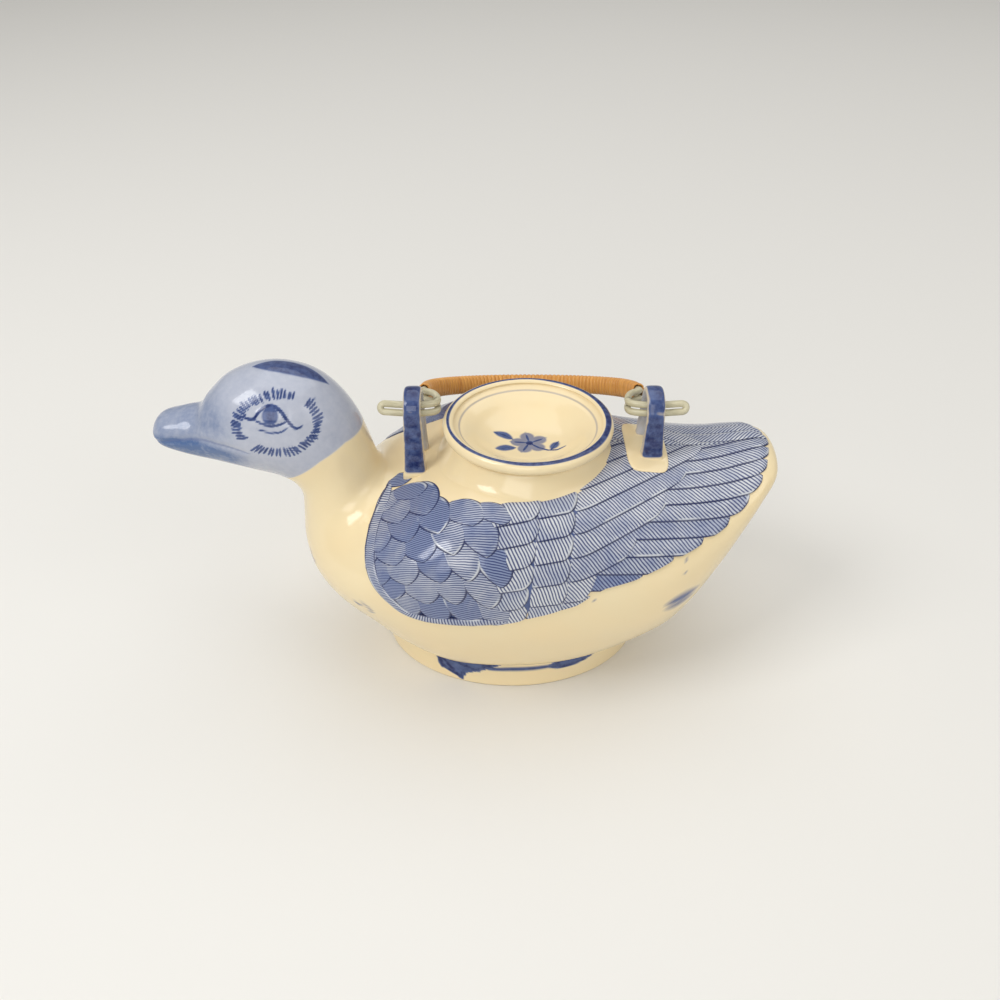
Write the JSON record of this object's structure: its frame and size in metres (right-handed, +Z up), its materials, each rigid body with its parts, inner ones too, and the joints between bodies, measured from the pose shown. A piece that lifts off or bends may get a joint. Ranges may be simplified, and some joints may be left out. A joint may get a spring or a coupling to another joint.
{
  "type": "teapot",
  "caption": "Duck-shaped glazed teapot that pours through its bill, with a dished lift-off lid and a cane-bound bail that swings in two strap lugs.",
  "frame": {"origin": "on the table, under the middle of the whole part's bounding box, the bail folded back", "axes": "-X towards the bill, +X towards the tail, +Y to the side where the bail lies folded, +Z up"},
  "size_m": [0.2096, 0.1202, 0.1133],
  "materials": {
    "glazed_porcelain": "clear gloss glaze over warm white porcelain with cobalt brushwork",
    "lid_porcelain": "clear gloss glaze over warm white porcelain with a cobalt rim line",
    "cobalt_glaze": "cobalt wash under clear gloss glaze",
    "pale_cane": "bare split cane",
    "honey_cane": "satin varnished cane binding"
  },
  "bodies": {
    "pot": {"duck_body": "glazed_porcelain", "duck_head": "glazed_porcelain", "foot_ring": "glazed_porcelain", "mouth_collar": "glazed_porcelain", "front_lug": "cobalt_glaze", "rear_lug": "cobalt_glaze"},
    "lid": {"lid": "lid_porcelain"},
    "bail": {"bail_strand": "pale_cane", "bail_binding": "honey_cane"}
  },
  "joints": [
    {"name": "lid_lift", "type": "slide", "parent": "pot", "child": "lid", "axis": [0, 0, 1], "range_m": [0, 0.06]},
    {"name": "bail_swing", "type": "hinge", "parent": "pot", "child": "bail", "pos_m": [0.02158, -0.00916, 0.09698], "axis": [1, 0, 0], "range_deg": [0, 220]}
  ]
}
